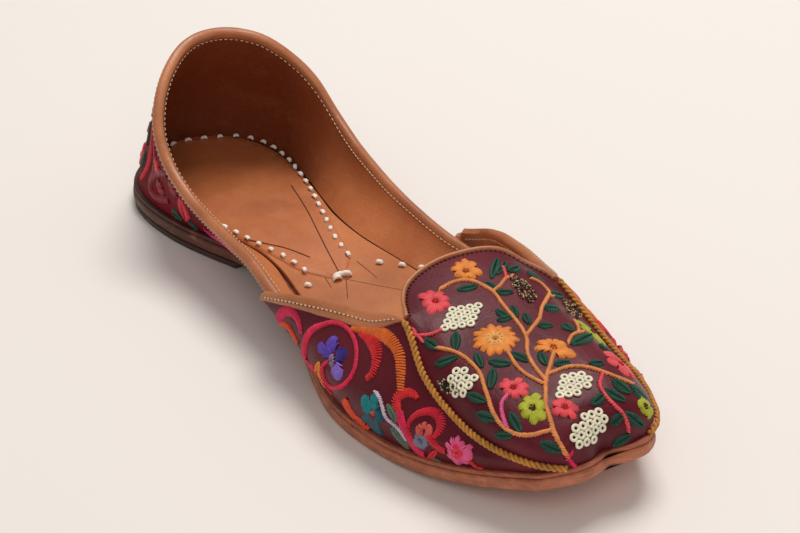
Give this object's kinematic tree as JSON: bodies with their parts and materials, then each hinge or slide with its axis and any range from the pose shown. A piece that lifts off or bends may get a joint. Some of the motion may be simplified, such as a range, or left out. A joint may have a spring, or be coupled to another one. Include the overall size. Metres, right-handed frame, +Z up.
{
  "type": "mojari shoe",
  "caption": "Flat slip-on mojari shoe with a tongue-shaped vamp, side wings, deep open back, leather outsole and low heel lift.",
  "frame": {"origin": "centre of the bounding box at the floor", "axes": "+Z up from the floor, -Y towards the toe, +X towards the wearer's left"},
  "size_m": [0.0764, 0.2391, 0.0575],
  "materials": {
    "outsole_leather": "natural leather, matt, slightly darkened edge",
    "welt_leather": "natural leather edge",
    "heel_leather": "dark stained leather",
    "sock_leather": "smooth tan leather",
    "upper_leather": "maroon leather, semi-matt, tan lining inside",
    "binding_leather": "folded tan leather, satin",
    "cord_thread": "golden twisted thread"
  },
  "bodies": {
    "root": {"outsole": "outsole_leather", "welt": "welt_leather", "heel_lift": "heel_leather", "insole": "sock_leather", "heel_pad": "sock_leather", "vamp": "upper_leather", "quarter": "upper_leather", "topline_binding": "binding_leather", "tongue_binding": "binding_leather", "cuff_right": "binding_leather", "cuff_left": "binding_leather", "cord_right": "cord_thread", "cord_left": "cord_thread"}
  },
  "joints": []
}
